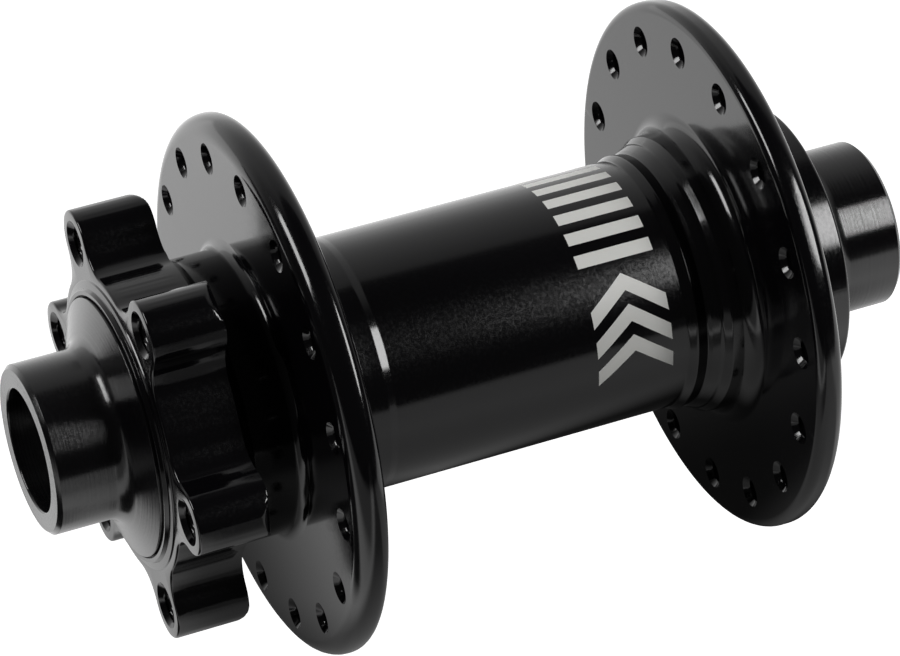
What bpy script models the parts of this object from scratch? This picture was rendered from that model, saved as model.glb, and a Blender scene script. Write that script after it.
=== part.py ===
"""Front disc-brake bicycle hub: shell, axle, two cartridge bearings and push-on end caps.

The origin is the middle of the axle. +Y runs along the axle towards the disc side and +Z is up.
Sizes below are in millimetres: "y" is a place along the axle, "r" a distance from its centre line.
"""

import math

import bmesh
import bpy
from mathutils import Matrix

MM = 0.001
FIT_GAP = 0.1  # air between two turned pieces that sit in or against each other

# Whole hub
HALF_WIDTH = 55.0  # to the face of either end cap
THRU_AXLE_R = 7.5

# Shell, between the flanges
BARREL_R = 15.54
BARREL_BORE_R = 13.6
BEARING_STOP_Y = 35.8  # shoulder that each bearing's outer ring rests on

# Low step and ridges where the barrel runs into its flanges: y, and height above the barrel
LEFT_STEP = (15.3, 15.6, 0.35)  # start y, end y, height
LEFT_FLARE_R = 4.0
LEFT_FLARE_HIGH = 0.7
RIDGE_START_Y = -23.0
RIGHT_RIDGES = ((-24.2, 0.48), (-25.8, 0.3), (-26.3, 0.6), (-28.2, 1.7))
RIGHT_FLARE_R = 2.4
RIGHT_FLARE_HIGH = 2.1

# Spoke flanges: plain discs with a half-round rim
FLANGE_R = 33.28
LEFT_FLANGE_Y = 24.95
LEFT_RIM_R = 2.0
RIGHT_FLANGE_Y = -33.43
RIGHT_RIM_R = 1.66
SPOKE_COUNT = 16
SPOKE_CIRCLE_R = 28.5
SPOKE_HOLE_R = 1.3
SPOKE_MOUTH_R = 2.05
LEFT_SPOKE_DEG = 2.6
RIGHT_SPOKE_DEG = LEFT_SPOKE_DEG + 180.0 / SPOKE_COUNT  # the two sides are half a pitch apart

# Disc rotor mount: six lobes on the shell's disc side
ROTOR_FACE_Y = 43.5
ROTOR_BACK_Y = 34.5
PILOT_R = 17.7
PILOT_END_Y = 44.25
LOBE_COUNT = 6
LOBE_DEG = 35.9
BOLT_CIRCLE_R = 22.0
LOBE_R = 4.1
LOBE_BACK_ROUND = 2.0
SCALLOP_R = 18.7
SCALLOP_FILLET = 4.5
BOLT_HOLE_R = 2.15
BOLT_MOUTH_R = 2.9
NECK_R = 17.4
NECK_FILLET = 1.1  # to the flange
NECK_ROUND = 1.5  # to the back of the mount

# Boss on the plain side
BOSS_R = 17.5
BOSS_END_Y = -44.1
BOSS_FILLET = 1.5
EDGE = 0.5  # ordinary edge break
FINE_EDGE = 0.3

# Cartridge bearings
BEARING_Y = 39.4  # middle of each bearing
BEARING_HALF = 3.5
BEARING_R = 15.0
BEARING_BORE_R = 9.1
PITCH_R = 12.0
BALL_R = 1.98
BALL_COUNT = 11
GROOVE_R = BALL_R + FIT_GAP
OUTER_LAND_R = 13.1
INNER_LAND_R = 10.9
SEAL_DEPTH = 0.75
SEAL_THICK = 0.5
CAGE_HALF = 2.6
CAGE_R = (11.45, 12.55)
POCKET_DEPTH = 3.0  # of each pocket's drill, more than the cage's wall

# Axle
AXLE_R = 9.0
AXLE_BORE_R = 7.6
AXLE_SHOULDER_R = 10.3
AXLE_SHOULDER_LENGTH = 4.0
AXLE_WAIST_R = 9.6
AXLE_TAPER_LENGTH = 1.5  # from the shoulder down to the waist
AXLE_END_Y = 50.2

# End caps
CAP_TUBE_R = 10.35
CAP_DISC_R = 15.75
CAP_DISC_Y = 44.6  # outer edge of the dust-cover disc
CAP_DISC_THICK = 1.0
CAP_FLARE_Y = 47.9
CAP_FLARE_R = 2.0
CAP_BREAK = 0.15
CAP_NOSE_R = 10.6
DUST_RECESS_R = 16.0
O_RING_Y = 45.6
O_RING_R = 9.5
O_RING_SECTION_R = 0.42

SHELL_STEPS = 40
CAP_STEPS = 32
INNER_STEPS = 32
HOLE_STEPS = 8
PAST = 1.0  # how far a cutter runs past the face it cuts


def clear_scene():
    for thing in list(bpy.data.objects):
        bpy.data.objects.remove(thing, do_unlink=True)


def surface(name, colour, metallic, roughness):
    """A Principled BSDF material."""
    material = bpy.data.materials.new(name)
    material.use_nodes = True
    shader = material.node_tree.nodes["Principled BSDF"]
    shader.inputs["Base Color"].default_value = (*colour, 1.0)
    shader.inputs["Metallic"].default_value = metallic
    shader.inputs["Roughness"].default_value = roughness
    return material


def arc(y, r, radius, first_deg, last_deg, steps):
    """A round stretch of an outline about (y, r). 0 degrees is along +Y, 90 away from the axle."""
    points = []
    for step in range(steps + 1):
        angle = math.radians(first_deg + (last_deg - first_deg) * step / steps)
        points.append((y + radius * math.cos(angle), r + radius * math.sin(angle)))
    return points


def polar(radius, degrees):
    """(x, z) at a clock angle that starts at +Z and turns towards +X."""
    angle = math.radians(degrees)
    return radius * math.sin(angle), radius * math.cos(angle)


def spin_outline(shape, outline, steps, centre=(0.0, 0.0), looped=True):
    """Turns a (y, r) outline once round the line parallel to Y through centre (x, z)."""
    x, z = centre
    points = [shape.verts.new((x * MM, y * MM, (z + r) * MM)) for y, r in outline]
    ends = points[1:] + points[:1] if looped else points[1:]
    edges = [shape.edges.new(pair) for pair in zip(points, ends)]
    bmesh.ops.spin(
        shape,
        geom=points + edges,
        cent=(x * MM, 0.0, z * MM),
        axis=(0.0, 1.0, 0.0),
        angle=2.0 * math.pi,
        steps=steps,
        use_merge=True,
    )


def mesh_from(name, shape):
    """Closes the seams of a bmesh, faces it outwards and makes it a smooth-shaded mesh."""
    bmesh.ops.remove_doubles(shape, verts=shape.verts, dist=1e-7)
    bmesh.ops.recalc_face_normals(shape, faces=shape.faces)
    mesh = bpy.data.meshes.new(name)
    shape.to_mesh(mesh)
    shape.free()
    mesh.shade_smooth()
    mesh.set_sharp_from_angle(angle=math.radians(35.0))
    return mesh


def turned_mesh(name, outline, steps):
    shape = bmesh.new()
    spin_outline(shape, outline, steps)
    return mesh_from(name, shape)


def place(name, mesh, material=None, parent=None, location=(0.0, 0.0, 0.0)):
    """Adds a mesh to the scene as a named object; location is in millimetres."""
    thing = bpy.data.objects.new(name, mesh)
    thing.location = [value * MM for value in location]
    thing.parent = parent
    if material and not mesh.materials:
        mesh.materials.append(material)
    bpy.context.scene.collection.objects.link(thing)
    return thing


def cut(target, cutter):
    """Subtracts the cutter from the target and keeps the cutter out of the model."""
    cutter.hide_render = True
    cutter.display_type = "WIRE"
    modifier = target.modifiers.new(cutter.name, "BOOLEAN")
    modifier.operation = "DIFFERENCE"
    modifier.object = cutter


def rotor_mount_outline():
    """Turned blank of the pilot, the mount, and the neck down to the disc-side flange."""
    rim_r = BOLT_CIRCLE_R + LOBE_R
    back_y = ROTOR_BACK_Y + LOBE_BACK_ROUND
    return [
        (PILOT_END_Y, DUST_RECESS_R),
        (PILOT_END_Y, PILOT_R - 2.0 * EDGE),
        (PILOT_END_Y - EDGE, PILOT_R),
        (ROTOR_FACE_Y, PILOT_R),
        (ROTOR_FACE_Y, rim_r - FINE_EDGE),
        (ROTOR_FACE_Y - FINE_EDGE, rim_r),
        *arc(back_y, rim_r - LOBE_BACK_ROUND, LOBE_BACK_ROUND, 90, 180, 3),
        *arc(ROTOR_BACK_Y - NECK_ROUND, NECK_R + NECK_ROUND, NECK_ROUND, 0, -90, 2),
    ]


def disc_flange_outline():
    """Disc-side flange, from the neck's fillet to the flared start of the barrel."""
    outer_y = LEFT_FLANGE_Y + LEFT_RIM_R
    inner_y = LEFT_FLANGE_Y - LEFT_RIM_R
    flare_r = BARREL_R + LEFT_FLARE_HIGH + LEFT_FLARE_R
    step_start, step_end, step_high = LEFT_STEP
    return [
        *arc(outer_y + NECK_FILLET, NECK_R + NECK_FILLET, NECK_FILLET, 270, 180, 2),
        *arc(LEFT_FLANGE_Y, FLANGE_R - LEFT_RIM_R, LEFT_RIM_R, 0, 180, 4),
        *arc(inner_y - LEFT_FLARE_R, flare_r, LEFT_FLARE_R, 0, -90, 3),
        (step_end, BARREL_R + step_high),
        (step_start, BARREL_R),
    ]


def plain_flange_outline():
    """The low ridge, the groove and the step at the barrel's plain end, then flange and boss."""
    inner_y = RIGHT_FLANGE_Y + RIGHT_RIM_R
    outer_y = RIGHT_FLANGE_Y - RIGHT_RIM_R
    flare_r = BARREL_R + RIGHT_FLARE_HIGH + RIGHT_FLARE_R
    return [
        (RIDGE_START_Y, BARREL_R),
        *[(y, BARREL_R + high) for y, high in RIGHT_RIDGES],
        *arc(inner_y + RIGHT_FLARE_R, flare_r, RIGHT_FLARE_R, -90, -180, 3),
        *arc(RIGHT_FLANGE_Y, FLANGE_R - RIGHT_RIM_R, RIGHT_RIM_R, 0, 180, 4),
        *arc(outer_y - BOSS_FILLET, BOSS_R + BOSS_FILLET, BOSS_FILLET, 0, -90, 2),
        (BOSS_END_Y + EDGE, BOSS_R),
        (BOSS_END_Y, BOSS_R - EDGE),
    ]


def shell_bore_outline():
    """Dust recess, bearing seat and bore, from the plain end to the disc end."""
    seat_r = BEARING_R + FIT_GAP
    seat_y = BEARING_Y + BEARING_HALF + 2.0 * FIT_GAP
    return [
        (BOSS_END_Y, DUST_RECESS_R),
        (-seat_y, DUST_RECESS_R),
        (-seat_y, seat_r),
        (-BEARING_STOP_Y, seat_r),
        (-BEARING_STOP_Y, BARREL_BORE_R),
        (BEARING_STOP_Y, BARREL_BORE_R),
        (BEARING_STOP_Y, seat_r),
        (seat_y, seat_r),
        (seat_y, DUST_RECESS_R),
    ]


def lobe_radii():
    """(degrees, r) of the mount's outline, over half a lobe and half the scallop beside it."""
    fillet_r = SCALLOP_R + SCALLOP_FILLET
    reach = LOBE_R + SCALLOP_FILLET
    cosine = (BOLT_CIRCLE_R**2 + fillet_r**2 - reach**2) / (2.0 * BOLT_CIRCLE_R * fillet_r)
    fillet_at = math.acos(cosine)
    fillet_x = fillet_r * math.sin(fillet_at)
    fillet_z = fillet_r * math.cos(fillet_at)
    join = math.atan2(fillet_x, fillet_z - BOLT_CIRCLE_R)
    points = []
    for step in range(5):
        angle = join * step / 4.0
        points.append((LOBE_R * math.sin(angle), BOLT_CIRCLE_R + LOBE_R * math.cos(angle)))
    last = math.atan2(-fillet_x, -fillet_z)
    first = math.atan2(-math.sin(join), -math.cos(join))
    for step in range(1, 4):
        angle = first + (last - first) * step / 3.0
        x = fillet_x + SCALLOP_FILLET * math.sin(angle)
        z = fillet_z + SCALLOP_FILLET * math.cos(angle)
        points.append((x, z))
    radii = [(math.degrees(math.atan2(x, z)), math.hypot(x, z)) for x, z in points]
    return radii + [(180.0 / LOBE_COUNT, SCALLOP_R)]


def scallop_cutter():
    """A ring round the mount whose inside has the six lobes' outline."""
    half = lobe_radii()
    whole = [(-degrees, r) for degrees, r in reversed(half[1:-1])] + half
    shape = bmesh.new()
    inner = []
    outer = []
    for lobe in range(LOBE_COUNT):
        for degrees, r in whole:
            clock = degrees + lobe * 360.0 / LOBE_COUNT + LOBE_DEG
            for ring, radius in ((inner, r), (outer, BOLT_CIRCLE_R + 2.0 * LOBE_R)):
                x, z = polar(radius, clock)
                ring.append(shape.verts.new((x * MM, (ROTOR_BACK_Y - PAST) * MM, z * MM)))
    faces = []
    for i in range(len(inner)):
        faces.append(shape.faces.new((inner[i - 1], inner[i], outer[i], outer[i - 1])))
    raised = bmesh.ops.extrude_face_region(shape, geom=faces)["geom"]
    tops = [item for item in raised if isinstance(item, bmesh.types.BMVert)]
    length = ROTOR_FACE_Y - ROTOR_BACK_Y + 3.0 * PAST
    bmesh.ops.translate(shape, verts=tops, vec=(0.0, length * MM, 0.0))
    return place("scallop_cutter", mesh_from("scallop_cutter", shape))


def spoke_drill(middle_y, half_thick):
    """(y, r) of a hole through a flange with a conical mouth on each face."""
    mouth = SPOKE_MOUTH_R - SPOKE_HOLE_R
    ends = [
        (half_thick + PAST, 0.0),
        (half_thick + PAST, SPOKE_MOUTH_R + PAST),
        (half_thick - mouth, SPOKE_HOLE_R),
    ]
    mirrored = [(-y, r) for y, r in reversed(ends)]
    return [(middle_y + y, r) for y, r in ends + mirrored]


def hole_cutter():
    """Every spoke hole and every rotor bolt hole, as separate bodies of one cutter."""
    shape = bmesh.new()
    flanges = (
        (LEFT_FLANGE_Y, LEFT_RIM_R, LEFT_SPOKE_DEG),
        (RIGHT_FLANGE_Y, RIGHT_RIM_R, RIGHT_SPOKE_DEG),
    )
    for middle_y, half_thick, first_deg in flanges:
        for spoke in range(SPOKE_COUNT):
            centre = polar(SPOKE_CIRCLE_R, first_deg + spoke * 360.0 / SPOKE_COUNT)
            spin_outline(shape, spoke_drill(middle_y, half_thick), HOLE_STEPS, centre, looped=False)
    mouth = BOLT_MOUTH_R - BOLT_HOLE_R
    bolt_drill = [
        (ROTOR_FACE_Y + PAST, 0.0),
        (ROTOR_FACE_Y + PAST, BOLT_MOUTH_R + PAST),
        (ROTOR_FACE_Y - mouth, BOLT_HOLE_R),
        (ROTOR_BACK_Y - PAST, BOLT_HOLE_R),
        (ROTOR_BACK_Y - PAST, 0.0),
    ]
    for lobe in range(LOBE_COUNT):
        centre = polar(BOLT_CIRCLE_R, LOBE_DEG + lobe * 360.0 / LOBE_COUNT)
        spin_outline(shape, bolt_drill, HOLE_STEPS, centre, looped=False)
    return place("hole_cutter", mesh_from("hole_cutter", shape))


def make_shell(material):
    outline = (
        rotor_mount_outline()
        + disc_flange_outline()
        + plain_flange_outline()
        + shell_bore_outline()
    )
    shell = place("hub_shell", turned_mesh("hub_shell", outline, SHELL_STEPS), material)
    cut(shell, scallop_cutter())
    cut(shell, hole_cutter())


def make_axle(material):
    """A tube with a stub for each end cap, a seat for each bearing and a waist between them."""
    taper_y = BEARING_STOP_Y - AXLE_SHOULDER_LENGTH
    half = [
        (AXLE_END_Y, AXLE_BORE_R),
        (AXLE_END_Y, AXLE_R - EDGE),
        (AXLE_END_Y - EDGE, AXLE_R),
        (BEARING_STOP_Y, AXLE_R),
        (BEARING_STOP_Y, AXLE_SHOULDER_R),
        (taper_y, AXLE_SHOULDER_R),
        (taper_y - AXLE_TAPER_LENGTH, AXLE_WAIST_R),
    ]
    outline = half + [(-y, r) for y, r in reversed(half)]
    place("axle", turned_mesh("axle", outline, INNER_STEPS), material)


def cap_outline():
    """End cap on the disc side: tube, flare, dust-cover disc, nose, counterbore and thru bore."""
    inner_face_y = CAP_DISC_Y - CAP_DISC_THICK
    nose_y = BEARING_Y + BEARING_HALF + FIT_GAP
    stub_r = AXLE_R + FIT_GAP
    stub_y = AXLE_END_Y + 2.0 * FIT_GAP
    groove_half = O_RING_SECTION_R + FIT_GAP
    groove_r = O_RING_R + groove_half
    return [
        (HALF_WIDTH, THRU_AXLE_R + FINE_EDGE),
        (HALF_WIDTH, CAP_TUBE_R - EDGE),
        (HALF_WIDTH - EDGE, CAP_TUBE_R),
        *arc(CAP_FLARE_Y, CAP_TUBE_R + CAP_FLARE_R, CAP_FLARE_R, 270, 195, 3),
        (CAP_DISC_Y, CAP_DISC_R - CAP_BREAK),
        (CAP_DISC_Y - CAP_BREAK, CAP_DISC_R),
        (inner_face_y, CAP_DISC_R),
        (inner_face_y, CAP_NOSE_R),
        (nose_y, CAP_NOSE_R),
        (nose_y, stub_r),
        (O_RING_Y - groove_half, stub_r),
        (O_RING_Y - groove_half, groove_r),
        (O_RING_Y + groove_half, groove_r),
        (O_RING_Y + groove_half, stub_r),
        (stub_y, stub_r),
        (stub_y, THRU_AXLE_R),
        (HALF_WIDTH - FINE_EDGE, THRU_AXLE_R),
    ]


def make_end_cap(side, turn_deg, cap_mesh, ring_mesh, metal, rubber):
    """A push-on cap and its O-ring, on an empty that faces the cap outwards."""
    holder = place(f"{side}_cap_axis", None)
    holder.rotation_euler.z = math.radians(turn_deg)
    place(f"{side}_end_cap", cap_mesh, metal, holder)
    place(f"{side}_o_ring", ring_mesh, rubber, holder, (0.0, O_RING_Y, 0.0))


def outer_ring_outline():
    """Bearing outer ring: round back, seal recess at each face, ball groove between."""
    recess_y = BEARING_HALF - SEAL_DEPTH
    recess_r = OUTER_LAND_R + 3.0 * FIT_GAP
    reach = math.degrees(math.asin((OUTER_LAND_R - PITCH_R) / GROOVE_R))
    return [
        (BEARING_HALF, recess_r),
        (BEARING_HALF, BEARING_R),
        (-BEARING_HALF, BEARING_R),
        (-BEARING_HALF, recess_r),
        (-recess_y, recess_r),
        (-recess_y, OUTER_LAND_R),
        *arc(0.0, PITCH_R, GROOVE_R, 180.0 - reach, reach, 4),
        (recess_y, OUTER_LAND_R),
        (recess_y, recess_r),
    ]


def inner_ring_outline():
    reach = math.degrees(math.asin((PITCH_R - INNER_LAND_R) / GROOVE_R))
    return [
        (BEARING_HALF, BEARING_BORE_R),
        (BEARING_HALF, INNER_LAND_R),
        *arc(0.0, PITCH_R, GROOVE_R, -reach, reach - 180.0, 4),
        (-BEARING_HALF, INNER_LAND_R),
        (-BEARING_HALF, BEARING_BORE_R),
    ]


def seal_outline():
    """Flat rubber ring in the outer ring's recess; its lip stays just clear of the inner ring."""
    outer_r = OUTER_LAND_R + 2.0 * FIT_GAP
    inner_r = INNER_LAND_R + 2.0 * FIT_GAP
    half = SEAL_THICK / 2.0
    return [(half, inner_r), (half, outer_r), (-half, outer_r), (-half, inner_r)]


def cage_outline():
    inner_r, outer_r = CAGE_R
    return [
        (CAGE_HALF, inner_r),
        (CAGE_HALF, outer_r),
        (-CAGE_HALF, outer_r),
        (-CAGE_HALF, inner_r),
    ]


def pocket_cutter_mesh():
    """One radial cylinder for each ball, a little wider than the ball."""
    shape = bmesh.new()
    for ball in range(BALL_COUNT):
        turn = Matrix.Rotation(2.0 * math.pi * ball / BALL_COUNT, 4, "Y")
        lift = Matrix.Translation((0.0, 0.0, PITCH_R * MM))
        bmesh.ops.create_cone(
            shape,
            cap_ends=True,
            segments=HOLE_STEPS,
            radius1=(BALL_R + 2.0 * FIT_GAP) * MM,
            radius2=(BALL_R + 2.0 * FIT_GAP) * MM,
            depth=POCKET_DEPTH * MM,
            matrix=turn @ lift,
        )
    return mesh_from("pocket_cutter", shape)


def ball_mesh():
    shape = bmesh.new()
    bmesh.ops.create_icosphere(shape, subdivisions=2, radius=BALL_R * MM)
    return mesh_from("ball", shape)


def bearing_meshes():
    """The meshes that both bearings share."""
    return {
        "outer_ring": turned_mesh("outer_ring", outer_ring_outline(), INNER_STEPS),
        "inner_ring": turned_mesh("inner_ring", inner_ring_outline(), INNER_STEPS),
        "seal": turned_mesh("seal", seal_outline(), INNER_STEPS),
        "cage": turned_mesh("ball_cage", cage_outline(), INNER_STEPS),
        "pockets": pocket_cutter_mesh(),
        "ball": ball_mesh(),
    }


def make_bearing(side, turn_deg, meshes, steel, nylon, rubber):
    """A sealed cartridge bearing on an empty; its outer face looks along the empty's +Y."""
    holder = place(f"{side}_bearing_axis", None)
    holder.rotation_euler.z = math.radians(turn_deg)
    holder.location.y = math.cos(math.radians(turn_deg)) * BEARING_Y * MM
    place(f"{side}_outer_ring", meshes["outer_ring"], steel, holder)
    place(f"{side}_inner_ring", meshes["inner_ring"], steel, holder)
    seal_y = BEARING_HALF - SEAL_DEPTH + FIT_GAP + SEAL_THICK / 2.0
    place(f"{side}_outer_seal", meshes["seal"], rubber, holder, (0.0, seal_y, 0.0))
    place(f"{side}_inner_seal", meshes["seal"], rubber, holder, (0.0, -seal_y, 0.0))
    cage = place(f"{side}_ball_cage", meshes["cage"], nylon, holder)
    cut(cage, place(f"{side}_pocket_cutter", meshes["pockets"], parent=holder))
    for ball in range(BALL_COUNT):
        x, z = polar(PITCH_R, ball * 360.0 / BALL_COUNT)
        place(f"{side}_ball_{ball + 1:02d}", meshes["ball"], steel, holder, (x, 0.0, z))


def o_ring_mesh():
    outline = arc(0.0, O_RING_R, O_RING_SECTION_R, 0, 288, 4)
    return turned_mesh("o_ring", outline, INNER_STEPS)


def main():
    clear_scene()
    black = surface("anodised_black", (0.035, 0.035, 0.038), 0.9, 0.28)
    grey = surface("machined_grey", (0.42, 0.42, 0.43), 1.0, 0.35)
    steel = surface("bearing_steel", (0.62, 0.62, 0.63), 1.0, 0.18)
    nylon = surface("cage_nylon", (0.78, 0.74, 0.62), 0.0, 0.5)
    rubber = surface("seal_rubber", (0.03, 0.03, 0.03), 0.0, 0.65)

    make_shell(black)
    make_axle(grey)
    cap = turned_mesh("end_cap", cap_outline(), CAP_STEPS)
    ring = o_ring_mesh()
    meshes = bearing_meshes()
    for side, turn_deg in (("left", 0.0), ("right", 180.0)):
        make_end_cap(side, turn_deg, cap, ring, black, rubber)
        make_bearing(side, turn_deg, meshes, steel, nylon, rubber)


main()
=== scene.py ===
"""Looks of a front disc-brake bicycle hub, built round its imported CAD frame.

Metres, +Y along the axle towards the disc side, +Z up. Sizes below are in millimetres:
"y" is a place along the axle, "r" a distance from its centre line.
"""

import math
from functools import partial

import bmesh
import bpy
from mathutils import Matrix, Vector


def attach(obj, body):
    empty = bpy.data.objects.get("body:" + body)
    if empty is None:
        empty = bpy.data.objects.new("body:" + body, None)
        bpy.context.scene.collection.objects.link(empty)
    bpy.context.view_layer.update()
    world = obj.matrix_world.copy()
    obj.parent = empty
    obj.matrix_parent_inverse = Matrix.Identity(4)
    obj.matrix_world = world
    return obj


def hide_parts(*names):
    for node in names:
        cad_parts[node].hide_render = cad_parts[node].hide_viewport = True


MM = 0.001
SHARP_ANGLE = math.radians(32.0)
ARC_STEP = math.radians(12.0)  # of a rounded corner

# Shell
BARREL_R = 15.54
STEP_RISE = 0.14  # of the low step by the left flange, above the barrel
FLANGE_R = 33.28
LEFT_FLANGE_Y = 24.95
LEFT_RIM_R = 2.0
RIGHT_FLANGE_Y = -33.43
RIGHT_RIM_R = 1.66
NECK_R = 17.4
BOSS_R = 17.5
BOSS_END_Y = -44.1
RECESS_R = 16.0
SEAT_R = 15.1
SEAT_END_Y = 43.1
STOP_Y = 35.8
BARREL_BORE_R = 13.6
SPOKE_COUNT = 16
SPOKE_CIRCLE_R = 28.5
SPOKE_HOLE_R = 1.3
SPOKE_MOUTH_R = 1.95
LEFT_SPOKE_DEG = 2.6
RIGHT_SPOKE_DEG = 13.85

# Rotor mount
LOBE_COUNT = 6
LOBE_DEG = 35.9
BOLT_CIRCLE_R = 22.0
LOBE_R = 4.1
SCALLOP_R = 18.7
SCALLOP_FILLET = 4.5
ROTOR_FACE_Y = 43.5
ROTOR_BACK_Y = 34.5
BACK_ROUND = 1.5
NECK_ROUND = 1.5
LOBE_EDGE = 0.3
LINE_STEP = 0.34  # between points along the mount's outline
THREAD_MINOR_R = 2.1
THREAD_DEPTH = 0.38
THREAD_PITCH = 0.8
BOLT_MOUTH_R = 2.85

# Bearings
BEARING_Y = 39.4
BEARING_HALF = 3.5
PITCH_R = 12.0
BALL_R = 1.98
GROOVE_R = 2.08
BALL_COUNT = 11

# Axle and caps
THRU_AXLE_R = 7.5
CAP_TUBE_R = 10.35
O_RING_Y = 45.6
O_RING_R = 9.5
O_RING_SECTION_R = 0.42

# Etched band: u runs round the barrel from its top, v along it from the band's middle
BAND_Y = -16.3
BAND_HALF = 4.9
CHEVRONS_U = (12.4, -12.6, -16.4, -20.2)
CHEVRON_WALL = 1.7
STRIPES_U = (6.5, 3.4, 0.3, -2.8, -5.9, -9.0)
STRIPE_HALF = 0.85
ETCHED_COLOUR = (0.74, 0.74, 0.71)
ETCH_DEPTH = 0.004

# Shell's finish elsewhere, and a painted shade on its neck
MILLING_HEIGHT = 0.07
NECK_PAINTED_SHADE = 0.33

# Studio
CAMERA_AT = (-0.39524, 0.174065, 0.343217)
CAMERA_AIM = (0.000734, 0.000826, 0.00043)
CAMERA_ROLL_DEG = -0.12
LENS_MM = 182.83
SENSOR_MM = 36.0
SWEEP_AZIMUTH = 113.0  # of the brightest part behind the hub, from +Y towards +X
SWEEP_STOPS = (  # elevation in degrees, brightness
    (-90, 1.0),
    (0, 1.0),
    (6, 0.97),
    (17, 0.76),
    (29, 0.58),
    (40, 0.5),
    (50, 0.42),
    (62, 0.3),
    (65, 0.05),
    (90, 0.02),
)
ROOM_BRIGHTNESS = 0.03
SOFTBOX_DISTANCE = 0.9
TABLE_Z = -0.0334
TABLE_HALF = 3.0
FLOOR_Z = -1.15
FLOOR_HALF = 14.0


# ---------------------------------------------------------------- outlines


def rounded(corners, closed=True):
    """(y, r) outline through (y, r, radius) corners, each turned with an arc of its radius."""
    outline = []
    count = len(corners)
    for i, (y, r, radius) in enumerate(corners):
        inner = closed or 0 < i < count - 1
        if radius <= 0.0 or not inner:
            outline.append((y, r))
            continue
        corner = Vector((y, r))
        before = (Vector(corners[i - 1][:2]) - corner).normalized()
        after = (Vector(corners[(i + 1) % count][:2]) - corner).normalized()
        half = before.angle(after) / 2.0
        centre = corner + (before + after).normalized() * radius / math.sin(half)
        first = corner + before * radius / math.tan(half) - centre
        last = corner + after * radius / math.tan(half) - centre
        start = math.atan2(first.y, first.x)
        turn = (math.atan2(last.y, last.x) - start + math.pi) % (2.0 * math.pi) - math.pi
        steps = max(2, math.ceil(abs(turn) / ARC_STEP))
        for step in range(steps + 1):
            angle = start + turn * step / steps
            outline.append((centre.x + radius * math.cos(angle), centre.y + radius * math.sin(angle)))
    return outline


def mirrored(outline):
    """The same outline at the other end of the axle."""
    return [(-y, r) for y, r in outline]


def polar(radius, degrees):
    """(x, z) at a clock angle that starts at +Z and turns towards +X."""
    angle = math.radians(degrees)
    return Vector((radius * math.sin(angle), radius * math.cos(angle)))


def arc_points(centre, radius, first, last):
    """Points on a clock-angle arc, evenly spaced along it, both ends included."""
    count = max(1, math.ceil(radius * abs(last - first) / LINE_STEP))
    angles = [first + (last - first) * step / count for step in range(count + 1)]
    return [centre + radius * Vector((math.sin(a), math.cos(a))) for a in angles]


def mount_line():
    """(x, z) points round the rotor mount: six lobes joined by scallops with round corners."""
    fillet_r = SCALLOP_R + SCALLOP_FILLET
    reach = LOBE_R + SCALLOP_FILLET
    cosine = (BOLT_CIRCLE_R**2 + fillet_r**2 - reach**2) / (2.0 * BOLT_CIRCLE_R * fillet_r)
    fillet = polar(fillet_r, math.degrees(math.acos(cosine)))
    lobe = Vector((0.0, BOLT_CIRCLE_R))
    join = math.atan2(fillet.x - lobe.x, fillet.y - lobe.y)
    inward = math.atan2(-fillet.x, -fillet.y) % (2.0 * math.pi)
    root = math.acos(cosine)
    half = arc_points(lobe, LOBE_R, 0.0, join)
    half += arc_points(fillet, SCALLOP_FILLET, join + math.pi, inward)[1:]
    half += arc_points(Vector((0.0, 0.0)), SCALLOP_R, root, math.pi / LOBE_COUNT)[1:]
    whole = [Vector((-point.x, point.y)) for point in reversed(half[1:-1])] + half
    points = []
    for lobe_index in range(LOBE_COUNT):
        turn = -math.radians(LOBE_DEG + lobe_index * 360.0 / LOBE_COUNT)
        points += [Matrix.Rotation(turn, 2) @ point for point in whole]
    return points


# ---------------------------------------------------------------- meshes


def finished(name, shape):
    """Welds, faces outwards and smooth-shades a bmesh, keeping its sharp edges."""
    bmesh.ops.remove_doubles(shape, verts=shape.verts, dist=1e-7)
    bmesh.ops.recalc_face_normals(shape, faces=shape.faces)
    mesh = bpy.data.meshes.new(name)
    shape.to_mesh(mesh)
    shape.free()
    mesh.shade_smooth()
    mesh.set_sharp_from_angle(angle=SHARP_ANGLE)
    return mesh


def skin(shape, rings, closed=True):
    """Joins rings of (x, y, z) points with quads; an open skin gets a face over each end."""
    loops = [[shape.verts.new((x * MM, y * MM, z * MM)) for x, y, z in ring] for ring in rings]
    if not closed:
        shape.faces.new(loops[0])
        shape.faces.new(reversed(loops[-1]))
    for i in range(0 if closed else 1, len(loops)):
        near, far = loops[i - 1], loops[i]
        for k in range(len(far)):
            shape.faces.new((near[k - 1], near[k], far[k], far[k - 1]))


def circle(y, r, steps, centre=(0.0, 0.0)):
    points = [polar(r, 360.0 * k / steps) for k in range(steps)]
    return [(centre[0] + point.x, y, centre[1] + point.y) for point in points]


def turned(name, outline, steps):
    """A lathe-turned mesh from a closed (y, r) outline."""
    shape = bmesh.new()
    skin(shape, [circle(y, r, steps) for y, r in outline])
    return finished(name, shape)


def modified(mesh, kind, **settings):
    """The mesh as one modifier leaves it."""
    target = bpy.data.objects.new("target", mesh)
    bpy.context.scene.collection.objects.link(target)
    modifier = target.modifiers.new("change", kind)
    for name, value in settings.items():
        setattr(modifier, name, value)
    graph = bpy.context.evaluated_depsgraph_get()
    changed = bpy.data.meshes.new_from_object(target.evaluated_get(graph))
    bpy.data.objects.remove(target)
    return changed


def carve(mesh, cutter_mesh):
    """The mesh with the cutter taken out of it."""
    cutter = bpy.data.objects.new("cutter", cutter_mesh)
    bpy.context.scene.collection.objects.link(cutter)
    carved = modified(mesh, "BOOLEAN", operation="DIFFERENCE", object=cutter)
    bpy.data.objects.remove(cutter)
    carved.shade_smooth()
    carved.set_sharp_from_angle(angle=SHARP_ANGLE)
    return carved


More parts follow.
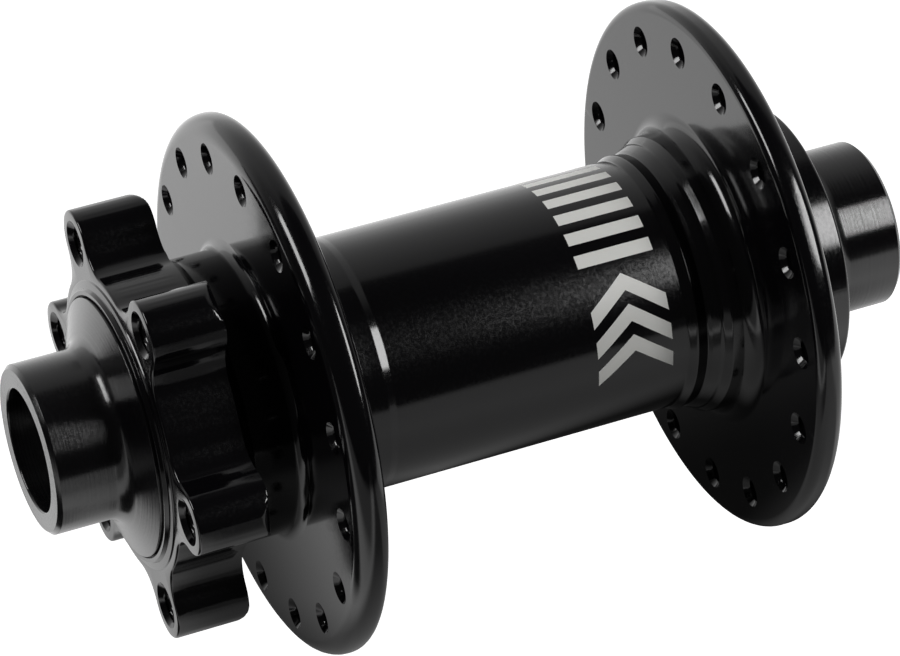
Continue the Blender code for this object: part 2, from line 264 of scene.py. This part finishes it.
def add(name, mesh, material, body, slot, node):
    """A finished piece: evenly shaded, coloured, on its body, standing for its CAD node."""
    shaded = modified(mesh, "WEIGHTED_NORMAL", keep_sharp=True)
    piece = bpy.data.objects.new(name, shaded)
    bpy.context.scene.collection.objects.link(piece)
    shaded.name = name
    shaded.materials.clear()
    shaded.materials.append(material)
    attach(piece, body)
    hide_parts(node)


# ---------------------------------------------------------------- shell


def pilot_outline():
    """From the dust recess over the rotor pilot's two lips to the mount's face."""
    return rounded(
        [
            (SEAT_END_Y, RECESS_R, 0.0),
            (44.27, RECESS_R, 0.08),
            (44.27, 16.56, 0.1),
            (43.8, 16.76, 0.08),
            (43.66, 17.58, 0.1),
            (ROTOR_FACE_Y, 17.7, 0.0),
        ],
        closed=False,
    )


def shell_body_outline():
    """From the neck behind the mount, over both flanges and the boss, back through the bore."""
    left_out, left_in = LEFT_FLANGE_Y + LEFT_RIM_R, LEFT_FLANGE_Y - LEFT_RIM_R
    right_in, right_out = RIGHT_FLANGE_Y + RIGHT_RIM_R, RIGHT_FLANGE_Y - RIGHT_RIM_R
    return rounded(
        [
            (ROTOR_BACK_Y - NECK_ROUND, NECK_R, 0.0),
            (left_out, NECK_R, 1.3),
            (left_out, FLANGE_R, 2.4),
            (left_in, FLANGE_R, 1.3),
            (left_in, BARREL_R + STEP_RISE, 4.6),
            (15.45, BARREL_R + STEP_RISE, 2.0),
            (14.5, BARREL_R, 2.0),
            (-23.3, BARREL_R, 0.8),
            (-24.3, BARREL_R + 0.5, 0.6),
            (-25.75, BARREL_R + 0.26, 0.3),
            (-26.2, BARREL_R + 0.57, 0.15),
            (-27.1, BARREL_R + 1.06, 0.7),
            (-27.5, BARREL_R + 1.14, 0.6),
            (-28.35, BARREL_R + 1.82, 0.45),
            (right_in, BARREL_R + 2.1, 2.3),
            (right_in, FLANGE_R, 1.25),
            (right_out, FLANGE_R, 1.25),
            (right_out, BOSS_R, 1.5),
            (BOSS_END_Y, BOSS_R, 0.45),
            (BOSS_END_Y, RECESS_R, 0.15),
            (-SEAT_END_Y, RECESS_R, 0.1),
            (-SEAT_END_Y, SEAT_R, 0.15),
            (-STOP_Y, SEAT_R, 0.1),
            (-STOP_Y, BARREL_BORE_R, 0.2),
            (STOP_Y, BARREL_BORE_R, 0.2),
            (STOP_Y, SEAT_R, 0.1),
            (SEAT_END_Y, SEAT_R, 0.0),
        ],
        closed=False,
    )


def mount_rings(line):
    """The mount's rings, front to back: edge break, lobed wall, the turned blank's back."""
    tangents = [line[(i + 1) % len(line)] - line[i - 1] for i in range(len(line))]
    inwards = [Vector((t.y, -t.x)).normalized() for t in tangents]
    rings = []
    for step in range(4):
        angle = math.radians(30.0 * step)
        inset = LOBE_EDGE * (1.0 - math.sin(angle))
        y = ROTOR_FACE_Y - LOBE_EDGE * (1.0 - math.cos(angle))
        rings.append([(p.x + n.x * inset, y, p.y + n.y * inset) for p, n in zip(line, inwards)])
    tip_r = BOLT_CIRCLE_R + LOBE_R
    blank = [(ROTOR_FACE_Y - 3.0, tip_r)]
    blank += rounded(
        [
            (ROTOR_FACE_Y - 3.0, tip_r, 0.0),
            (ROTOR_BACK_Y, tip_r, BACK_ROUND),
            (ROTOR_BACK_Y, NECK_R, NECK_ROUND),
            (ROTOR_BACK_Y - 3.0, NECK_R, 0.0),
        ],
        closed=False,
    )[1:-1]
    for y, r in blank:
        rings.append([at_radius(point, min(point.length, r), y) for point in line])
    return rings


def at_radius(point, radius, y):
    """A point at the same clock angle as an (x, z) one, at another radius."""
    at = point.normalized() * radius
    return at.x, y, at.y


def spoke_cutter(shape, middle_y, half_thick, centre):
    """A spoke hole with a rounded conical mouth on each face of its flange."""
    mouth = SPOKE_MOUTH_R - SPOKE_HOLE_R
    side = rounded(
        [
            (half_thick + 0.5, SPOKE_MOUTH_R + 0.5, 0.0),
            (half_thick - mouth, SPOKE_HOLE_R, 0.5),
            (0.0, SPOKE_HOLE_R, 0.0),
        ],
        closed=False,
    )[:-1]
    outline = side + mirrored(reversed(side))
    skin(shape, [circle(middle_y + y, r, 40, centre) for y, r in outline], closed=False)


def thread_cutter(shape, centre):
    """A tapped hole: a helical ridge down a bore, with a conical mouth at the rotor's side."""
    steps = 36
    rings = []
    rows = 8
    first_y, last_y = ROTOR_FACE_Y + 0.4, ROTOR_BACK_Y - 1.0
    for row in range(int((first_y - last_y) / THREAD_PITCH * rows) + 1):
        y = first_y - row * THREAD_PITCH / rows
        mouth_r = BOLT_MOUTH_R + (y - ROTOR_FACE_Y)
        ring = []
        for k in range(steps):
            phase = (row / rows + k / steps) % 1.0
            ridge = abs(2.0 * phase - 1.0)
            r = max(THREAD_MINOR_R + THREAD_DEPTH * ridge, mouth_r)
            at = polar(r, 360.0 * k / steps) + centre
            ring.append((at.x, y, at.y))
        rings.append(ring)
    skin(shape, rings, closed=False)


def shell_holes():
    shape = bmesh.new()
    flanges = (
        (LEFT_FLANGE_Y, LEFT_RIM_R, LEFT_SPOKE_DEG),
        (RIGHT_FLANGE_Y, RIGHT_RIM_R, RIGHT_SPOKE_DEG),
    )
    for middle_y, half_thick, first_deg in flanges:
        for spoke in range(SPOKE_COUNT):
            centre = polar(SPOKE_CIRCLE_R, first_deg + spoke * 360.0 / SPOKE_COUNT)
            spoke_cutter(shape, middle_y, half_thick, centre)
    for lobe in range(LOBE_COUNT):
        thread_cutter(shape, polar(BOLT_CIRCLE_R, LOBE_DEG + lobe * 360.0 / LOBE_COUNT))
    return finished("shell_holes", shape)


def shell_mesh():
    """The whole shell on one net of points: its turned and lobed parts share their edges."""
    line = mount_line()
    rings = [[at_radius(point, r, y) for point in line] for y, r in pilot_outline()]
    rings += mount_rings(line)
    rings += [[at_radius(point, r, y) for point in line] for y, r in shell_body_outline()]
    shape = bmesh.new()
    skin(shape, rings)
    return carve(finished("hub_shell_body", shape), shell_holes())


# ---------------------------------------------------------------- axle and caps


def axle_mesh():
    half = rounded(
        [
            (0.0, 9.6, 0.0),
            (30.3, 9.6, 0.6),
            (31.8, 10.3, 0.4),
            (STOP_Y, 10.3, 0.2),
            (STOP_Y, 9.0, 0.15),
            (50.2, 9.0, 0.4),
            (50.2, 7.6, 0.3),
            (0.0, 7.6, 0.0),
        ],
        closed=False,
    )[1:-1]
    return turned("axle_tube", half + mirrored(reversed(half)), 128)


def cap_mesh():
    """Disc-side end cap: tube, flare, coned dust cover, nose, counterbore and O-ring groove."""
    outline = rounded(
        [
            (55.0, THRU_AXLE_R, 0.25),
            (55.0, 9.85, 0.06),
            (54.5, CAP_TUBE_R, 0.08),
            (46.5, CAP_TUBE_R, 2.0),
            (44.55, 15.78, 0.12),
            (43.6, 15.78, 0.1),
            (43.6, 10.6, 0.2),
            (43.02, 10.6, 0.15),
            (43.02, 9.1, 0.15),
            (O_RING_Y - 0.52, 9.1, 0.05),
            (O_RING_Y - 0.52, 10.02, 0.1),
            (O_RING_Y + 0.52, 10.02, 0.1),
            (O_RING_Y + 0.52, 9.1, 0.05),
            (50.4, 9.1, 0.1),
            (50.4, THRU_AXLE_R, 0.2),
        ]
    )
    return turned("end_cap_disc_side", outline, 192)


def o_ring_mesh():
    steps = 20
    angles = [2.0 * math.pi * step / steps for step in range(steps)]
    section = [
        (O_RING_Y + O_RING_SECTION_R * math.cos(a), O_RING_R + O_RING_SECTION_R * math.sin(a)) for a in angles
    ]
    return turned("o_ring_disc_side", section, 96)


def other_end(mesh, name):
    """A copy of a disc-side mesh turned round to the plain side."""
    copy = mesh.copy()
    copy.name = name
    copy.transform(Matrix.Rotation(math.pi, 4, "Z"))
    return copy


# ---------------------------------------------------------------- bearings


def groove(reach_r, outward):
    """The ball groove of one ring, as an arc about the balls' circle that starts on its +Y side."""
    reach = math.asin(abs(reach_r - PITCH_R) / GROOVE_R)
    steps = 16
    points = []
    for step in range(steps + 1):
        angle = reach + (math.pi - 2.0 * reach) * step / steps
        r = PITCH_R + outward * GROOVE_R * math.sin(angle)
        points.append((GROOVE_R * math.cos(angle), r))
    return points


def at_bearing(outline):
    return [(BEARING_Y + y, r) for y, r in outline]


def outer_ring_mesh():
    half = [
        (2.75, 13.1, 0.05),
        (2.75, 13.4, 0.05),
        (BEARING_HALF, 13.4, 0.1),
        (BEARING_HALF, 15.0, 0.3),
        (0.0, 15.0, 0.0),
    ]
    right = rounded([(0.0, 13.1, 0.0)] + half, closed=False)[1:-1]
    outline = list(reversed(groove(13.1, 1.0))) + right + mirrored(reversed(right))
    return turned("outer_ring_disc_side", at_bearing(outline), 128)


def inner_ring_mesh():
    half = [(BEARING_HALF, 10.9, 0.1), (BEARING_HALF, 9.1, 0.3), (0.0, 9.1, 0.0)]
    right = rounded([(0.0, 10.9, 0.0)] + half, closed=False)[1:-1]
    outline = list(reversed(groove(10.9, -1.0))) + right + mirrored(reversed(right))
    return turned("inner_ring_disc_side", at_bearing(outline), 128)


def seal_mesh(middle_y, facing):
    """A moulded seal ring: flat rim, shallow dished web and a lip by the inner ring."""
    face = [
        (0.25, 13.3, 0.06),
        (0.25, 12.75, 0.05),
        (0.08, 12.55, 0.05),
        (0.08, 11.75, 0.05),
        (0.25, 11.5, 0.05),
        (0.2, 11.1, 0.08),
        (-0.25, 11.1, 0.08),
        (-0.25, 13.3, 0.06),
    ]
    outline = [(middle_y + facing * y, r) for y, r in rounded(face)]
    return turned("seal", outline, 128)


def cage_mesh():
    """The ball cage: a nylon ring with a round pocket for each ball."""
    ring = rounded([(2.6, 11.45, 0.2), (2.6, 12.55, 0.2), (-2.6, 12.55, 0.2), (-2.6, 11.45, 0.2)])
    pockets = bmesh.new()
    for ball in range(BALL_COUNT):
        turn = Matrix.Rotation(2.0 * math.pi * ball / BALL_COUNT, 4, "Y")
        lift = Matrix.Translation((0.0, BEARING_Y * MM, PITCH_R * MM))
        bmesh.ops.create_cone(
            pockets,
            cap_ends=True,
            segments=48,
            radius1=(BALL_R + 0.18) * MM,
            radius2=(BALL_R + 0.18) * MM,
            depth=3.0 * MM,
            matrix=turn @ lift,
        )
    return carve(turned("cage_disc_side", at_bearing(ring), 132), finished("pockets", pockets))


def ball_mesh(name, degrees, y):
    shape = bmesh.new()
    at = polar(PITCH_R, degrees)
    place = Matrix.Translation((at.x * MM, y * MM, at.y * MM))
    bmesh.ops.create_icosphere(shape, subdivisions=4, radius=BALL_R * MM, matrix=place)
    return finished(name, shape)


# ---------------------------------------------------------------- materials


class Value:
    """A number in a shader's tree that ordinary arithmetic can be written with."""

    def __init__(self, tree, socket):
        self.tree = tree
        self.socket = socket

    def math(self, operation, *others):
        node = self.tree.nodes.new("ShaderNodeMath")
        node.operation = operation
        for slot, value in zip(node.inputs, (self, *others)):
            if isinstance(value, Value):
                self.tree.links.new(value.socket, slot)
            else:
                slot.default_value = value
        return Value(self.tree, node.outputs[0])

    def __add__(self, other):
        return self.math("ADD", other)

    def __sub__(self, other):
        return self.math("SUBTRACT", other)

    def __mul__(self, other):
        return self.math("MULTIPLY", other)

    def __truediv__(self, other):
        return self.math("DIVIDE", other)

    def below(self, limit):
        return self.math("LESS_THAN", limit)

    def abs(self):
        return self.math("ABSOLUTE")

    def max(self, other):
        return self.math("MAXIMUM", other)

    def ramp(self, low, high, to_low=0.0, to_high=1.0):
        """Smoothly from to_low at low to to_high at high."""
        node = self.tree.nodes.new("ShaderNodeMapRange")
        node.interpolation_type = "SMOOTHSTEP"
        self.tree.links.new(self.socket, node.inputs["Value"])
        limits = {"From Min": low, "From Max": high, "To Min": to_low, "To Max": to_high}
        for name, value in limits.items():
            node.inputs[name].default_value = value
        return Value(self.tree, node.outputs["Result"])


class Finish:
    """A Principled material under construction, with places on the object in millimetres."""

    def __init__(self, name, colour, metallic, roughness):
        self.material = bpy.data.materials.new(name)
        self.material.use_nodes = True
        self.tree = self.material.node_tree
        self.shader = self.tree.nodes["Principled BSDF"]
        self.shader.inputs["Base Color"].default_value = (*colour, 1.0)
        self.shader.inputs["Metallic"].default_value = metallic
        self.shader.inputs["Roughness"].default_value = roughness
        self.coords = self.tree.nodes.new("ShaderNodeTexCoord").outputs["Object"]
        split = self.tree.nodes.new("ShaderNodeSeparateXYZ")
        self.tree.links.new(self.coords, split.inputs[0])
        self.x, self.y, self.z = [Value(self.tree, out) * 1000.0 for out in split.outputs]
        self.r = (self.x * self.x + self.z * self.z).math("SQRT")

    def noise(self, size, detail=2.0, along=None):
        """Noise whose lumps are about size millimetres; along a Value it is one-dimensional."""
        node = self.tree.nodes.new("ShaderNodeTexNoise")
        node.inputs["Detail"].default_value = detail
        if along is None:
            node.inputs["Scale"].default_value = 1000.0 / size
            self.tree.links.new(self.coords, node.inputs["Vector"])
        else:
            node.noise_dimensions = "1D"
            node.inputs["Scale"].default_value = 1.0 / size
            self.tree.links.new(along.socket, node.inputs["W"])
        return Value(self.tree, node.outputs[0])

    def turning(self, size):
        """Lathe marks: fine rings along the axle on cylinders and round it on faces."""
        return self.noise(size, 3.0, self.y) + self.noise(size, 3.0, self.r)

    def drive(self, socket, value):
        self.tree.links.new(value.socket, self.shader.inputs[socket])

    def bump(self, height):
        """Raises the surface by a height in millimetres."""
        node = self.tree.nodes.new("ShaderNodeBump")
        node.inputs["Distance"].default_value = MM
        node.inputs["Strength"].default_value = 1.0
        self.tree.links.new(height.socket, node.inputs["Height"])
        self.tree.links.new(node.outputs[0], self.shader.inputs["Normal"])

    def mix_colour(self, mask, first, second):
        node = self.tree.nodes.new("ShaderNodeMix")
        node.data_type = "RGBA"
        self.tree.links.new(mask.socket, node.inputs["Factor"])
        node.inputs["A"].default_value = (*first, 1.0)
        node.inputs["B"].default_value = (*second, 1.0)
        self.tree.links.new(node.outputs["Result"], self.shader.inputs["Base Color"])

    def grain_along(self, amount):
        """Stretches highlights across the lathe marks."""
        tangent = self.tree.nodes.new("ShaderNodeTangent")
        tangent.direction_type = "RADIAL"
        tangent.axis = "Y"
        self.tree.links.new(tangent.outputs[0], self.shader.inputs["Tangent"])
        self.shader.inputs["Anisotropic"].default_value = amount
        self.shader.inputs["Anisotropic Rotation"].default_value = 0.25


def chevron_mask(u, v):
    """A plain V across the band."""
    off_line = (u + v.abs() * 0.75).abs() * 0.8 - CHEVRON_WALL / 2.0
    return off_line.max(v.abs() - BAND_HALF).below(0.0)


def stripe_mask(u, v):
    """A plain bar across the band."""
    return (u.abs() - STRIPE_HALF).max(v.abs() - BAND_HALF).below(0.0)


def etched_band(finish):
    """Where the laser has marked the barrel: plain stripes and chevrons in a row round it."""
    u = finish.x.math("ARCTAN2", finish.z) * BARREL_R
    v = finish.y - BAND_Y
    shapes = [chevron_mask(u - place, v) for place in CHEVRONS_U]
    shapes += [stripe_mask(u - place, v) for place in STRIPES_U]
    mark = shapes[0]
    for shape in shapes[1:]:
        mark = mark.max(shape)
    return mark * (finish.r - BARREL_R).abs().below(0.2)


def milling_marks(finish):
    """Height of the cutter's bands along the axle on the rotor mount's lobes and scallops."""
    milled = finish.y.ramp(34.6, 37.0) * finish.y.ramp(43.4, 41.5) * finish.r.ramp(18.0, 18.6)
    feed = finish.noise(1.3, 1.0, finish.x) + finish.noise(1.3, 1.0, finish.z) - 1.0
    return feed * milled * MILLING_HEIGHT


def neck_painted_shade_mask(finish):
    """Painted shade: where the neck between the rotor mount and its flange reflects less, standing for the
    shade that the mount and flange keep it in.
    """
    return finish.y.ramp(27.2, 28.5) * finish.y.ramp(35.0, 33.5) * finish.r.ramp(19.0, 17.8)


def anodised(name, roughness, specular, grain, ring_size, ring_height, etched=False):
    """Black anodised aluminium with lathe marks and a fine-grained skin."""
    dark = (0.002, 0.0018, 0.0024)
    finish = Finish(name, dark, 0.0, roughness)
    finish.shader.inputs["IOR"].default_value = 1.5
    finish.shader.inputs["Specular IOR Level"].default_value = specular
    finish.grain_along(grain)
    haze = finish.noise(0.4, 2.0).ramp(0.3, 0.8, 0.0, 0.06)
    rings = finish.turning(ring_size)
    rough = haze + roughness + rings * 0.02
    height = rings * ring_height + finish.noise(0.3, 2.0) * 0.001
    if etched:
        mark = etched_band(finish)
        finish.mix_colour(mark, dark, ETCHED_COLOUR)
        rough = rough + mark * 0.3
        height = height - mark * ETCH_DEPTH + milling_marks(finish)
        # Painted shade: the shell reflects less on its neck, in place of the shade there.
        finish.drive("Specular IOR Level", neck_painted_shade_mask(finish) * -NECK_PAINTED_SHADE + specular)
    else:
        finish.mix_colour(haze * 8.0, dark, (0.004, 0.0036, 0.0042))
    finish.drive("Roughness", rough)
    finish.bump(height)
    return finish.material


def metal(name, colour, roughness, ring_size, ring_height):
    """Bare turned or ground metal."""
    finish = Finish(name, colour, 1.0, roughness)
    finish.grain_along(0.5)
    rings = finish.turning(ring_size)
    finish.drive("Roughness", rings * 0.08 + finish.noise(6.0).ramp(0.3, 0.8, 0.0, 0.08) + roughness)
    finish.bump(rings * ring_height)
    stain = finish.noise(5.0, 4.0).ramp(0.45, 0.8)
    finish.mix_colour(stain * 0.35, colour, tuple(0.8 * value for value in colour))
    return finish.material


def moulded(name, colour, roughness, grain, sheen):
    """Rubber or nylon from a mould."""
    finish = Finish(name, colour, 0.0, roughness)
    finish.shader.inputs["Sheen Weight"].default_value = sheen
    skin_noise = finish.noise(grain, 3.0)
    finish.drive("Roughness", skin_noise * 0.15 + roughness)
    finish.bump(skin_noise * 0.01)
    mottle = finish.noise(3.0, 3.0).ramp(0.4, 0.7)
    finish.mix_colour(mottle * 0.4, colour, tuple(0.85 * value for value in colour))
    return finish.material


# ---------------------------------------------------------------- assembly


def build_bearings(steel, nylon, rubber):
    seal_y = 2.75 + 0.1 + 0.25
    rings = {"outer_ring": outer_ring_mesh(), "inner_ring": inner_ring_mesh()}
    seals = {
        "outer_seal": seal_mesh(BEARING_Y + seal_y, 1.0),
        "inner_seal": seal_mesh(BEARING_Y - seal_y, -1.0),
    }
    cage = cage_mesh()
    for side in ("left", "right"):
        place = (lambda mesh, name: mesh) if side == "left" else other_end
        outer = place(rings["outer_ring"], "outer_ring_plain_side")
        inner = place(rings["inner_ring"], "inner_ring_plain_side")
        add_ring = partial(add, material=steel, slot="bearing_steel")
        add_ring(f"{side}_bearing_outer_ring", outer, body="hub_shell", node=f"{side}_outer_ring")
        add_ring(f"{side}_bearing_inner_ring", inner, body="axle_assembly", node=f"{side}_inner_ring")
        for kind, mesh in seals.items():
            piece = place(mesh, f"{kind}_plain_side")
            name = f"{side}_bearing_{kind}"
            add(name, piece, rubber, "hub_shell", "seal_rubber", f"{side}_{kind}")
        set_body = f"{side}_ball_set"
        cage_piece = place(cage, "cage_plain_side")
        add(f"{side}_bearing_cage", cage_piece, nylon, set_body, "cage_nylon", f"{side}_ball_cage")
        sign = 1.0 if side == "left" else -1.0
        for ball in range(BALL_COUNT):
            name = f"{side}_ball_{ball + 1:02d}"
            sphere = ball_mesh(name, sign * ball * 360.0 / BALL_COUNT, sign * BEARING_Y)
            add(f"{side}_bearing_ball_{ball + 1:02d}", sphere, steel, set_body, "bearing_steel", name)


def build_caps(black, rubber):
    cap, ring = cap_mesh(), o_ring_mesh()
    add("left_cap", cap, black, "left_end_cap", "anodised_black", "left_end_cap")
    add("left_cap_o_ring", ring, rubber, "left_end_cap", "seal_rubber", "left_o_ring")
    cap, ring = other_end(cap, "end_cap_plain_side"), other_end(ring, "o_ring_plain_side")
    add("right_cap", cap, black, "right_end_cap", "anodised_black", "right_end_cap")
    add("right_cap_o_ring", ring, rubber, "right_end_cap", "seal_rubber", "right_o_ring")


def build_hub():
    shell_black = anodised("anodised_black_shell", 0.08, 0.5, 0.0, 0.3, 0.0005, etched=True)
    cap_black = anodised("anodised_black_cap", 0.15, 0.6, 0.8, 0.35, 0.012)
    aluminium = metal("machined_aluminium", (0.72, 0.72, 0.71), 0.24, 0.3, 0.002)
    steel = metal("bearing_steel", (0.62, 0.62, 0.63), 0.12, 0.2, 0.0006)
    nylon = moulded("cage_nylon", (0.74, 0.7, 0.58), 0.42, 0.3, 0.0)
    rubber = moulded("seal_rubber", (0.02, 0.02, 0.02), 0.55, 0.2, 0.1)
    add("shell_body", shell_mesh(), shell_black, "hub_shell", "anodised_black", "hub_shell")
    add("axle_tube", axle_mesh(), aluminium, "axle_assembly", "machined_aluminium", "axle")
    build_caps(cap_black, rubber)
    build_bearings(steel, nylon, rubber)


# ---------------------------------------------------------------- studio


def grey_ramp(tree, value, stops):
    """Brightness against the sine of the elevation, through (degrees, brightness) stops."""
    node = tree.nodes.new("ShaderNodeValToRGB")
    tree.links.new((value * 0.5 + 0.5).socket, node.inputs["Fac"])
    elements = node.color_ramp.elements
    while len(elements) > 1:
        elements.remove(elements[-1])
    for i, (degrees, brightness) in enumerate(stops):
        position = math.sin(math.radians(degrees)) * 0.5 + 0.5
        element = elements[0] if i == 0 else elements.new(position)
        element.position = position
        element.color = (brightness, brightness, brightness, 1.0)
    return Value(tree, node.outputs["Color"])


def light_studio():
    """Soft studio light: a white sweep behind, a dark ceiling and a dark room in front."""
    world = bpy.data.worlds.new("studio")
    bpy.context.scene.world = world
    world.use_nodes = True
    tree = world.node_tree
    split = tree.nodes.new("ShaderNodeSeparateXYZ")
    coords = tree.nodes.new("ShaderNodeTexCoord")
    tree.links.new(coords.outputs["Generated"], split.inputs[0])
    x, y, z = [Value(tree, out) for out in split.outputs]
    behind = math.radians(SWEEP_AZIMUTH)
    level = (x * x + y * y).math("SQRT").max(0.001)
    facing = ((x * math.sin(behind) + y * math.cos(behind)) / level).ramp(0.0, 0.8)
    brightness = grey_ramp(tree, z, SWEEP_STOPS) * facing + (facing * -1.0 + 1.0) * ROOM_BRIGHTNESS
    seen = tree.nodes.new("ShaderNodeLightPath")
    direct = Value(tree, seen.outputs["Is Camera Ray"])
    shown = brightness * (direct * -1.0 + 1.0) + direct
    tree.links.new(shown.socket, tree.nodes["Background"].inputs["Strength"])
    tree.nodes["Background"].inputs["Color"].default_value = (1.0, 1.0, 1.0, 1.0)


def add_table():
    """The white table top that the hub mirrors. It glows with painted light, brighter in one patch, and holds
    fixed soft painted shadows of the hub, its barrel and its flanges. The camera doesn't see it.
    """
    finish = Finish("table_white_painted_shade", (0.0, 0.0, 0.0), 0.0, 1.0)
    x, y = finish.x, finish.y
    # Painted light: the table glows, brighter in one patch behind the hub.
    painted_glow = x.ramp(50.0, 100.0) * y.ramp(35.0, 90.0) * 0.35
    light = (painted_glow + 1.16) * x.ramp(-300.0, -180.0, 0.06, 1.0)
    # Painted shadows: soft dark patches under and ahead of the hub stand for the shadows of the hub, its
    # barrel and its flanges.
    under = (x + y.abs() * 0.6).ramp(-10.0, 8.0) * x.ramp(66.0, 42.0)
    under = under * (y - x * 0.15).ramp(58.0, 24.0) * y.ramp(-82.0, -40.0)
    disc_edge, plain_edge = y - x * 0.18, y - x * 0.33
    ahead = (x + y.max(0.0) * 0.8).ramp(25.0, 0.0) * disc_edge.ramp(48.0, 36.0)
    barrel = ahead * plain_edge.ramp(-45.0, -34.0)
    flange = ahead * disc_edge.ramp(8.0, 16.0) * x.ramp(-30.0, -80.0)
    close = barrel * x.ramp(-75.0, -15.0)
    far_edge = x.ramp(-12.0, 5.0, 47.0, 70.0) + x.max(0.0) * 0.75
    beyond = (y - far_edge).ramp(-4.0, 5.0) * x.ramp(-38.0, -28.0)
    aside = x.ramp(-50.0, -85.0) * y.ramp(30.0, 50.0)
    painted_shadows = (under, 0.93), (barrel, 0.53), (flange, 0.7), (close, 0.45), (beyond, 0.97), (aside, 0.7)
    for shade, depth in painted_shadows:
        light = light * (shade * -depth + 1.0)
    finish.shader.inputs["Specular IOR Level"].default_value = 0.0
    finish.shader.inputs["Emission Color"].default_value = (1.0, 1.0, 1.0, 1.0)
    finish.drive("Emission Strength", light)
    table = add_plane("table", TABLE_Z, TABLE_HALF, finish.material)
    table.visible_camera = False
    table.visible_diffuse = False


def add_softbox(name, shape, azimuth, elevation, roll, width, height, power):
    """A flat light that faces the hub, turned about the line to it."""
    light = bpy.data.lights.new(name, "AREA")
    light.shape = shape
    light.size, light.size_y = width, height
    light.energy = power
    lamp = bpy.data.objects.new(name, light)
    bpy.context.scene.collection.objects.link(lamp)
    a, e = math.radians(azimuth), math.radians(elevation)
    out = Vector((math.sin(a) * math.cos(e), math.cos(a) * math.cos(e), math.sin(e)))
    lamp.location = out * SOFTBOX_DISTANCE
    turn = Matrix.Rotation(math.radians(roll), 3, "Z")
    lamp.rotation_euler = (out.to_track_quat("Z", "Y").to_matrix() @ turn).to_euler()
    lamp.visible_camera = False


def add_plane(name, z, half, material):
    """A level square that belongs to the studio."""
    shape = bmesh.new()
    bmesh.ops.create_grid(shape, x_segments=1, y_segments=1, size=half)
    mesh = bpy.data.meshes.new(name)
    shape.to_mesh(mesh)
    shape.free()
    mesh.materials.append(material)
    plane = bpy.data.objects.new(name, mesh)
    plane.location.z = z
    bpy.context.scene.collection.objects.link(plane)
    return plane


def add_floor():
    """The plain white floor, well below the hub so that no shadow shows on it."""
    finish = Finish("floor_white", (0.9, 0.9, 0.9), 0.0, 0.9)
    finish.shader.inputs["Emission Color"].default_value = (1.0, 1.0, 1.0, 1.0)
    finish.shader.inputs["Emission Strength"].default_value = 1.0
    floor = add_plane("floor", FLOOR_Z, FLOOR_HALF, finish.material)
    floor.visible_glossy = False
    floor.visible_diffuse = False


def add_camera():
    data = bpy.data.cameras.new("camera")
    data.lens = LENS_MM
    data.sensor_width = SENSOR_MM
    data.clip_start, data.clip_end = 0.01, 50.0
    camera = bpy.data.objects.new("camera", data)
    bpy.context.scene.collection.objects.link(camera)
    camera.location = CAMERA_AT
    look = (Vector(CAMERA_AIM) - Vector(CAMERA_AT)).to_track_quat("-Z", "Y")
    roll = Matrix.Rotation(math.radians(CAMERA_ROLL_DEG), 3, "Z")
    camera.rotation_euler = (look.to_matrix() @ roll).to_euler()
    bpy.context.scene.camera = camera


def build_studio():
    light_studio()
    add_softbox("key_softbox", "ELLIPSE", -130.0, 38.5, -28.0, 0.22, 0.57, 3.9)
    add_softbox("side_softbox", "RECTANGLE", 13.0, 39.5, 0.0, 0.43, 0.24, 3.4)
    add_floor()
    add_table()
    add_camera()
    bpy.context.scene.view_settings.view_transform = "Standard"


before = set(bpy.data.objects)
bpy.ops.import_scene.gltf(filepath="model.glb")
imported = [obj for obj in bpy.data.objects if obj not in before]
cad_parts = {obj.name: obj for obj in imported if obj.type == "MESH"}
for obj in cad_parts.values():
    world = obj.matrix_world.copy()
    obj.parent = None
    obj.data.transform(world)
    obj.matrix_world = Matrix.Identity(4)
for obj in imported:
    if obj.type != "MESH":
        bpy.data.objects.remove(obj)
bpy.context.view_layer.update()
build_hub()
build_studio()
